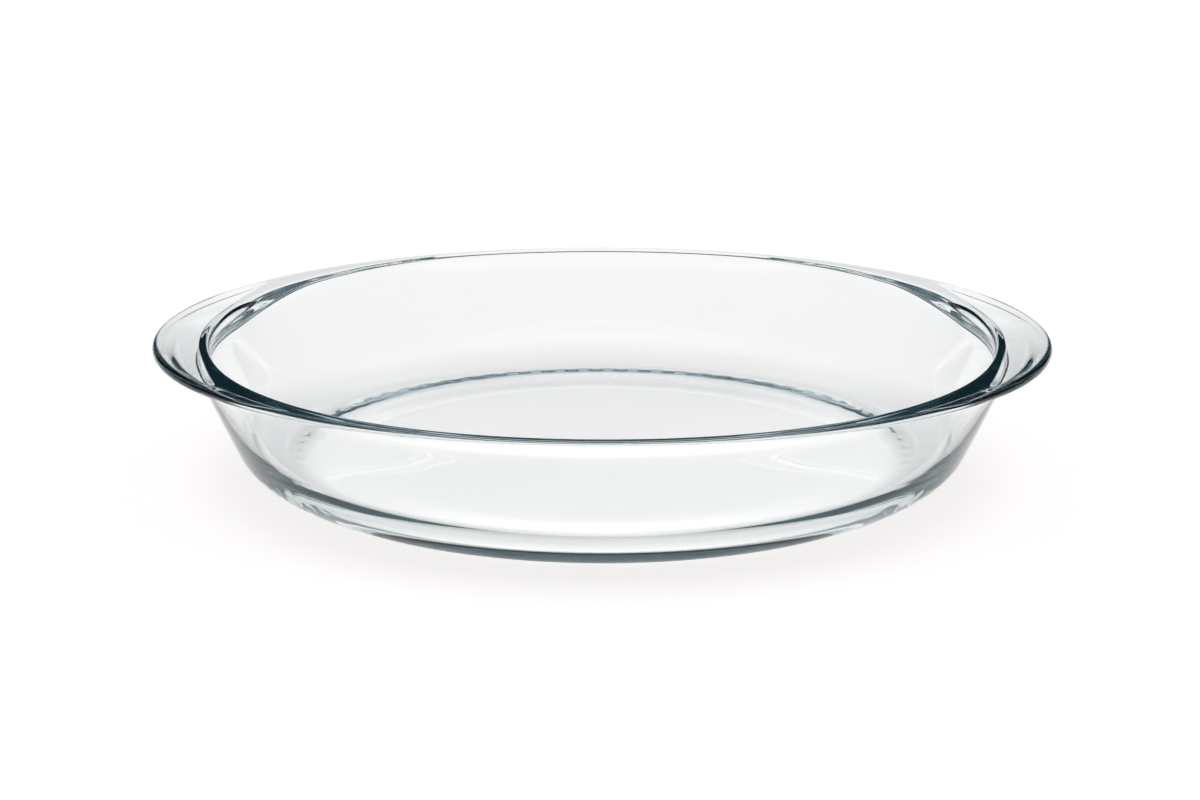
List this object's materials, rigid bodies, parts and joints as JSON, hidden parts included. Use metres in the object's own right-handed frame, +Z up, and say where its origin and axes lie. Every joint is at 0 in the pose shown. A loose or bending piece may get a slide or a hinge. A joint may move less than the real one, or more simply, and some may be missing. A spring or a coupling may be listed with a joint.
{
  "type": "oval baking dish",
  "caption": "Oval baking dish of clear pressed glass with leaning walls, a rounded rim and a hollowed lug handle at each end, for roasting and baking in an oven.",
  "frame": {"origin": "middle of the foot ring, on the plane the dish rests on", "axes": "+X along the length towards one handle, +Y across the width, +Z up out of the dish's mouth"},
  "size_m": [0.349, 0.2438, 0.0534],
  "materials": {
    "glass": "clear, fire-polished"
  },
  "bodies": {
    "root": {"glass_dish": "glass"}
  },
  "joints": []
}
